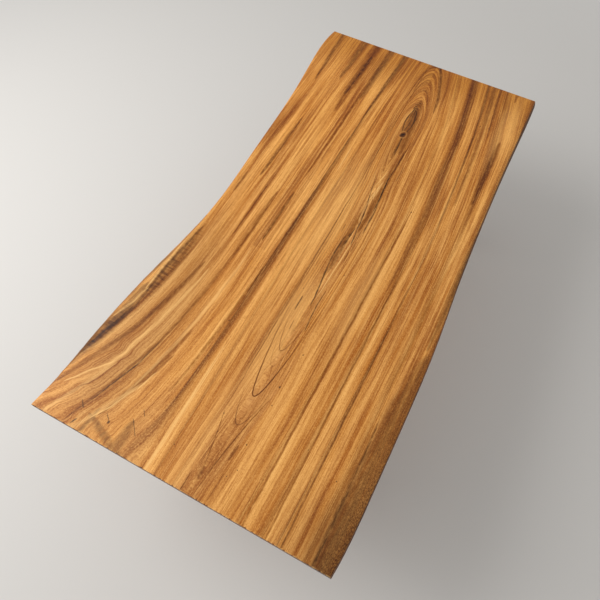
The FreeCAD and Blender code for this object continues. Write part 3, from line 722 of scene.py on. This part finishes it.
def hard_finish(name, tones, rubbed_tone, metal, gloss, broad, fine, relief, reach, dust=0):
    """A finish on metal or plastic: two tones, a rubbed tone, its roughness and its texture."""
    material, shader = finish(name)
    tree = material.node_tree
    place = put(tree, "TexCoord").outputs["Object"]
    slow, quick = put(tree, "Group", place, broad, fine, node_tree=surface_skin).outputs
    rubbed = put(tree, "Group", place, reach, node_tree=rubbed_edges).outputs[0]
    clouds = rise(slow, 0.34, 0.66)
    colour = blend(clouds, *tones)
    if dust:
        facing = put(tree, "NewGeometry").outputs["True Normal"]
        upward = put(tree, "SeparateXYZ", facing).outputs[2]
        settled = times(rise(upward, 0.5, 0.95), rise(slow, 0.3, 0.75), dust)
        colour = blend(settled, colour, (0.26, 0.24, 0.21, 1))
    colour = blend(times(rubbed, 0.75), colour, rubbed_tone)
    tree.links.new(colour, shader.inputs["Base Color"])
    rough = put(tree, "MapRange", quick, 0.3, 0.7, *gloss).outputs[0]
    rough = scaled(clouds, 0.06, rough)
    tree.links.new(scaled(rubbed, -0.08, rough), shader.inputs["Roughness"])
    raise_skin(tree, shader, quick, 0.6, relief)
    shader.inputs["Metallic"].default_value = metal
    return material


powder_coat = hard_finish(
    "black_powder_coat", ((0.019, 0.019, 0.02, 1), (0.028, 0.028, 0.029, 1)), (0.075, 0.075, 0.078, 1),
    metal=0, gloss=(0.44, 0.6), broad=9, fine=850, relief=0.00012, reach=0.0012, dust=0.1)
blackened_screw = hard_finish(
    "blackened_screw", ((0.03, 0.03, 0.033, 1), (0.052, 0.049, 0.047, 1)), (0.3, 0.29, 0.28, 1),
    metal=1, gloss=(0.34, 0.5), broad=160, fine=2600, relief=0.00002, reach=0.00035)


def coat_node(name, material):
    """The solid keeps its shape and takes a finish."""
    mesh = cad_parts[name].data
    if not mesh.materials:
        mesh.materials.append(material)
    for index in range(len(mesh.materials)):
        mesh.materials[index] = material


def lathe(shape, profile, steps, turns=1, climb=0):
    """Turn a profile of (radius, height) round the upright axis, with a climb for every step."""
    points = [shape.verts.new((radius, 0, height)) for radius, height in profile]
    lines = [shape.edges.new(pair) for pair in zip(points, points[1:])]
    bmesh.ops.spin(
        shape, geom=points + lines, cent=(0, 0, 0), axis=(0, 0, 1), dvec=(0, 0, climb),
        angle=2 * math.pi * turns, steps=steps * turns, use_merge=not climb)


def to_flats(vertex, flats):
    """Move a vertex of a round out or in to a hexagon; return the hexagon's radius there."""
    angle = math.atan2(vertex.co.y, vertex.co.x)
    radius = flats / 2 / math.cos((angle % (math.pi / 3)) - math.pi / 6)
    vertex.co = (radius * math.cos(angle), radius * math.sin(angle), vertex.co.z)
    return radius


def close_up(shape):
    """Join what meets and turn every face outwards."""
    bmesh.ops.remove_doubles(shape, verts=shape.verts, dist=1e-6)
    bmesh.ops.recalc_face_normals(shape, faces=shape.faces)


def set_out(pattern, places):
    """A copy of one small part at each of its places."""
    shape = pattern.copy()
    first = list(shape.verts)
    whole = first + list(shape.edges) + list(shape.faces)
    for place in places:
        copied = bmesh.ops.duplicate(shape, geom=whole)["geom"]
        bmesh.ops.translate(shape, verts=corners_in(copied), vec=place)
    bmesh.ops.delete(shape, geom=first, context="VERTS")
    return shape


def put_together(shape, name, slot, body, material, *stands_for):
    """Close a piece, make it ride on its body, and give it a finish."""
    close_up(shape)
    piece = new_piece(shape, name, slot, body, 32, *stands_for)
    piece.data.materials.append(material)


# a button head with a hexagon socket, its bearing face up
SOCKET_FLATS, SOCKET_DEPTH, HEAD_HEIGHT = 0.004, 0.002, 0.0031
SCREW_PLACES = (-0.365, -0.015, 0.335)
button_screw = bmesh.new()
lathe(button_screw, (
    (0, 0), (0.0056, 0), (0.00575, -0.0003), (0.0054, -0.0012), (0.0046, -0.0022), (0.0036, -0.0029),
    (0.0026, -HEAD_HEIGHT)), 24)
close_up(button_screw)
mouth = [v for v in button_screw.verts if v.co.z < 1e-6 - HEAD_HEIGHT]
for vertex in mouth:
    to_flats(vertex, SOCKET_FLATS)
rim = [e for e in button_screw.edges if e.verts[0] in mouth and e.verts[1] in mouth]
wall = bmesh.ops.extrude_edge_only(button_screw, edges=rim)["geom"]
bottom = corners_in(wall)
bmesh.ops.translate(button_screw, verts=bottom, vec=(0, 0, SOCKET_DEPTH))
bmesh.ops.contextual_create(
    button_screw, geom=[e for e in button_screw.edges if e.verts[0] in bottom and e.verts[1] in bottom])

channel_screws = set_out(
    button_screw, [(along, across, SLAB_UNDER) for along in CHANNELS.values() for across in SCREW_PLACES])
put_together(channel_screws, "channel_screws", "black_steel", "table", blackened_screw)
for channel in CHANNELS:
    coat_node(channel, powder_coat)

# --- mounting plates and bolts
# Each leg frame ends in an 8 mm steel plate.  Four M8 flange bolts, zinc-plated, go up through
# its slots into threaded inserts, and the slots let the wood move across its width.

FRAMES = {"wide_end": -0.73, "narrow_end": 0.73}
BASE_SHIFT = -0.015
PLATE_UNDER = 0.692
BOLT_ROW, BOLT_COLUMN = 0.042, 0.31
HEAD_SIDES, THREAD_STEPS = 36, 18

zinc_plating = hard_finish(
    "zinc_plating", ((0.6, 0.62, 0.64, 1), (0.5, 0.54, 0.58, 1)), (0.74, 0.74, 0.73, 1),
    metal=1, gloss=(0.27, 0.42), broad=70, fine=2200, relief=0.00002, reach=0.0005)


def hexagon(shape, low, high, flats, soften_high=True):
    """A turned hexagon: flat sides whose corners are cut back by a shallow cone at the ends."""
    made = bmesh.ops.create_cone(
        shape, cap_ends=True, segments=HEAD_SIDES, radius1=flats / 2, radius2=flats / 2, depth=high - low,
        matrix=Matrix.Translation((0, 0, (low + high) / 2)))["verts"]
    middle = (low + high) / 2
    for upper, softened in ((False, True), (True, soften_high)):
        ring = [v for v in made if (v.co.z > middle) == upper]
        if softened:
            cap = next(f for f in ring[0].link_faces if len(f.verts) == HEAD_SIDES)
            bmesh.ops.inset_region(shape, faces=[cap], thickness=flats * 0.025)
        for vertex in ring:
            set_back = (to_flats(vertex, flats) - flats * 0.475) * 0.55 if softened else 0
            vertex.co.z += -set_back if upper else set_back


def screw_thread(shape, low, high, size, pitch):
    """A right-hand thread round a solid core, with a chamfered point at the top."""
    root = size / 2 - pitch * 0.61
    lathe(shape, ((0, low), (root, low), (root, high - 0.001), (root - 0.001, high), (0, high)), 20)
    turns = int((high - low - 0.0015) / pitch) - 1
    ridge = [
        (radius, low + share * pitch)
        for radius, share in ((root, 0), (size / 2, 0.42), (size / 2, 0.56), (root, 1))]
    lathe(shape, ridge, THREAD_STEPS, turns, pitch / THREAD_STEPS)


flange_bolt = bmesh.new()
lathe(flange_bolt, (
    (0.0035, 0), (0.0088, 0), (0.009, -0.0002), (0.009, -0.0006), (0.0084, -0.0012), (0.0072, -0.0017),
    (0.006, -0.0018)), 40)
hexagon(flange_bolt, -0.0065, -0.0015, 0.013, soften_high=False)
screw_thread(flange_bolt, 0, 0.028, 0.008, 0.00125)
close_up(flange_bolt)
for end, along in FRAMES.items():
    bolts = set_out(flange_bolt, [
        (along + row, BASE_SHIFT + across, PLATE_UNDER)
        for row in (-BOLT_ROW, BOLT_ROW) for across in (-BOLT_COLUMN, BOLT_COLUMN)])
    put_together(bolts, f"{end}_flange_bolts", "zinc_steel", "table", zinc_plating, f"{end}_plate_bolts")
    coat_node(f"{end}_mounting_plate", powder_coat)

# --- posts, foot rails and welds
# The leg frames are mitred from 80 x 40 mm box section, welded all round at the foot and to
# the plate above, and powder-coated.  The mitres are ground nearly flush.

SPLAY = math.radians(8)
TUBE_WIDTH, TUBE_DEPTH, TUBE_CORNER = 0.08, 0.04, 0.006
FOOT_HALF_SPAN, RAIL_UNDER = 0.39, 0.0142


def tube_outline(shape):
    """The rounded outline of a tube, as a loop of short edges in the XY plane."""
    before = set(shape.edges)
    corners = bmesh.ops.create_grid(shape, x_segments=1, y_segments=1, size=0.5)["verts"]
    bmesh.ops.scale(shape, verts=corners, vec=(TUBE_WIDTH, TUBE_DEPTH, 1))
    bmesh.ops.bevel(
        shape, geom=corners, offset=TUBE_CORNER, segments=6, profile=0.5, affect="VERTICES", material=-1)
    sheet = [f for f in shape.faces if not before.intersection(f.edges)]
    bmesh.ops.delete(shape, geom=sheet, context="FACES_ONLY")
    long_runs = [e for e in shape.edges if e not in before and e.calc_length() > TUBE_CORNER]
    bmesh.ops.subdivide_edges(shape, edges=long_runs, cuts=23)
    return [e for e in shape.edges if e not in before]


def weld_bead(shape, rows, stretch, ahead, behind, place):
    """A bead round a slanted cut: each row is a distance out from the steel and one ahead or behind."""
    last = []
    flat_x, flat_y = TUBE_WIDTH / 2 - TUBE_CORNER, TUBE_DEPTH / 2 - TUBE_CORNER
    for out, along in rows:
        loop = tube_outline(shape)
        for vertex in {v for e in loop for v in e.verts}:
            x, y = vertex.co.xy
            core = Vector((max(-flat_x, min(flat_x, x)), max(-flat_y, min(flat_y, y)), 0))
            away = (vertex.co - core).normalized()
            uneven = 1 + 0.16 * noise.noise(vertex.co * 240)
            laid = vertex.co + away * out * uneven
            step = ahead * along if along > 0 else behind * -along
            vertex.co = place @ Vector((laid.x, laid.y * stretch, 0)) + step
        if last:
            bmesh.ops.bridge_loops(shape, edges=last + loop)
        last = loop


PLATE_BEAD = ((-0.0003, 0.0062), (0.0016, 0.0048), (0.0034, 0.0034), (0.0048, 0.0017), (0.006, 0))
MITRE_BEAD = (
    (-0.0004, -0.0042), (0.0003, -0.0024), (0.0005, 0), (0.0003, 0.0024), (-0.0004, 0.0042))
post_depth = TUBE_DEPTH / math.cos(SPLAY)
for end, along in FRAMES.items():
    welds = bmesh.new()
    for side in (1, -1):
        # fillet weld under the plate
        outer = FOOT_HALF_SPAN - (PLATE_UNDER - RAIL_UNDER) * math.tan(SPLAY)
        middle = BASE_SHIFT + side * (outer - post_depth / 2)
        down_post = Vector((0, side * math.tan(SPLAY), -1))
        weld_bead(
            welds, PLATE_BEAD, post_depth / TUBE_DEPTH, down_post, down_post,
            Matrix.Translation((along, middle, PLATE_UNDER)))
        # ground mitre at the foot
        inner = FOOT_HALF_SPAN - TUBE_DEPTH * math.tan(SPLAY) - post_depth
        slope = Vector((0, side * (FOOT_HALF_SPAN - inner), -TUBE_DEPTH))
        middle = BASE_SHIFT + side * (FOOT_HALF_SPAN + inner) / 2
        centre = Vector((along, middle, RAIL_UNDER + TUBE_DEPTH / 2))
        across = slope.normalized()
        facing = Vector((1, 0, 0)).cross(across)
        turn = Matrix((Vector((1, 0, 0)), across, facing)).transposed().to_4x4()
        behind, ahead = sorted((-down_post, Vector((0, -side, 0))), key=facing.dot)
        weld_bead(
            welds, MITRE_BEAD, slope.length / TUBE_DEPTH, ahead / ahead.dot(facing),
            behind / -behind.dot(facing), Matrix.Translation(centre) @ turn)
    put_together(welds, f"{end}_welds", "black_steel", "table", powder_coat)
    for member in ("left_post", "right_post", "foot_rail"):
        coat_node(f"{end}_{member}", powder_coat)

# --- levelling feet
# A weld nut inside the rail carries each M10 stem.  The stem's hexagon head stands in a
# moulded pad with sixteen grip flats, and a spanner on the head levels the table.

moulded_nylon = hard_finish(
    "moulded_nylon", ((0.024, 0.024, 0.024, 1), (0.036, 0.036, 0.035, 1)), (0.105, 0.104, 0.1, 1),
    metal=0, gloss=(0.5, 0.68), broad=60, fine=1700, relief=0.00006, reach=0.0008)

FOOT_REACH = 0.325
PAD_REACH, PAD_HEIGHT, PAD_SLOPE = 0.024, 0.008, 0.004
RECESS_REACH, RECESS_FLOOR = 0.0102, 0.004
STEM_FLATS, STEM_SHOULDER, STEM_TOP, STEM_SIZE, STEM_PITCH = 0.017, 0.014, 0.046, 0.01, 0.0015
GRIP_FLATS = 16

stem = bmesh.new()
hexagon(stem, RECESS_FLOOR, STEM_SHOULDER, STEM_FLATS)
screw_thread(stem, STEM_SHOULDER - 0.0005, STEM_TOP, STEM_SIZE, STEM_PITCH)
close_up(stem)

to_corner = 1 / math.cos(math.pi / GRIP_FLATS)
pad = bmesh.new()
lathe(pad, [(radius * to_corner, height) for radius, height in (
    (0, 0.0008), (0.015, 0.0008), (0.0156, 0), (PAD_REACH - 0.001, 0), (PAD_REACH, 0.0008),
    (PAD_REACH, PAD_HEIGHT - PAD_SLOPE - 0.0003), (PAD_REACH - 0.0006, PAD_HEIGHT - PAD_SLOPE + 0.0005),
    (PAD_REACH - PAD_SLOPE + 0.0005, PAD_HEIGHT - 0.0006), (PAD_REACH - PAD_SLOPE - 0.0005, PAD_HEIGHT),
    (RECESS_REACH + 0.0006, PAD_HEIGHT), (RECESS_REACH, PAD_HEIGHT - 0.0005), (RECESS_REACH, RECESS_FLOOR),
    (0, RECESS_FLOOR))], GRIP_FLATS)
close_up(pad)
bmesh.ops.rotate(pad, verts=pad.verts, cent=(0, 0, 0), matrix=Matrix.Rotation(math.pi / GRIP_FLATS, 3, "Z"))
upright = [
    e for e in pad.edges
    if min(math.hypot(v.co.x, v.co.y) for v in e.verts) > RECESS_REACH * 1.4
    and min(v.co.z for v in e.verts) > 0.0004
    and abs(e.verts[0].co.z - e.verts[1].co.z) > 1e-5]
bmesh.ops.bevel(pad, geom=upright, offset=0.0012, segments=3, profile=0.5, affect="EDGES", material=-1)

FOOT_PARTS = (("stem", stem, "zinc_steel", zinc_plating), ("pad", pad, "black_plastic", moulded_nylon))
for end, along in FRAMES.items():
    for side, sign in (("left", 1), ("right", -1)):
        place = (along, BASE_SHIFT + sign * FOOT_REACH, 0)
        for part, pattern, slot, material in FOOT_PARTS:
            name = f"{end}_{side}_{part}"
            put_together(
                set_out(pattern, [place]), name, slot, name, material, f"{end}_{side}_foot_{part}")
coat_node("foot_rail_nuts", zinc_plating)

# --- floor, light and camera
# A plain pale floor that fades into an equally pale backdrop, one large soft window light,
# and the camera.  From underneath the floor can't be seen, so the base shows.

ground = bmesh.new()
bmesh.ops.create_grid(ground, x_segments=1, y_segments=1, size=30)
mesh = bpy.data.meshes.new("floor")
ground.to_mesh(mesh)
ground.free()
floor = stand("floor", mesh)
floor_paint, shader = finish("floor_paint")
tree = floor_paint.node_tree
shader.inputs["Base Color"].default_value = (0.62, 0.6, 0.57, 1)
shader.inputs["Roughness"].default_value = 0.85
place = put(tree, "TexCoord").outputs["Object"]
reach = put(tree, "VectorMath", place, operation="LENGTH").outputs["Value"]
BACKDROP = (0.6, 0.59, 0.575, 1)
backdrop = put(tree, "Emission", BACKDROP, 1).outputs[0]


def looked_at(tree):
    """1 where the camera sees a surface, straight or in metal or glass."""
    seen = put(tree, "LightPath").outputs
    mirrored = most(seen["Is Glossy Ray"], seen["Is Transmission Ray"])
    return most(seen["Is Camera Ray"], mirrored)


far = reckon("MINIMUM", times(looked_at(tree), rise(reach, 2.4, 5.5)), 1)
faded = put(tree, "MixShader", far, shader.outputs[0], backdrop).outputs[0]
under = put(tree, "NewGeometry").outputs["Backfacing"]
clear = put(tree, "BsdfTransparent").outputs[0]
shown = put(tree, "MixShader", under, faded, clear).outputs[0]
tree.links.new(shown, tree.nodes["Material Output"].inputs["Surface"])
mesh.materials.append(floor_paint)

lamp = bpy.data.lights.new("window", "AREA")
lamp.shape = "RECTANGLE"
lamp.size, lamp.size_y = 3, 3
lamp.energy = 160
window = stand("window", lamp)
window.location = (-1.2, 3.2, 3.6)
window.rotation_euler = (Vector((0, 0, 0.6)) - window.location).to_track_quat("-Z", "Y").to_euler()

world = bpy.data.worlds.new("studio")
world.use_nodes = True
tree = world.node_tree
light = tree.nodes["Background"]
light.inputs["Color"].default_value = (1, 1, 1, 1)
light.inputs["Strength"].default_value = 0.6
backdrop = put(tree, "Background", BACKDROP, 1).outputs[0]
shown = put(tree, "MixShader", looked_at(tree), light.outputs[0], backdrop).outputs[0]
tree.links.new(shown, tree.nodes["World Output"].inputs["Surface"])
bpy.context.scene.world = world

lens = bpy.data.cameras.new("camera")
lens.lens = 33.6
lens.sensor_width = 36
camera = stand("camera", lens)
right = Vector((0.46625, -0.88462, 0.00733)).normalized()
back = Vector((-0.41579, -0.21182, 0.88445)).normalized()
turn = Matrix((right, back.cross(right), back)).transposed().to_4x4()
camera.matrix_world = Matrix.Translation((-1.1884, -0.4917, 2.5924)) @ turn
bpy.context.scene.camera = camera
bpy.context.scene.view_settings.view_transform = "Standard"
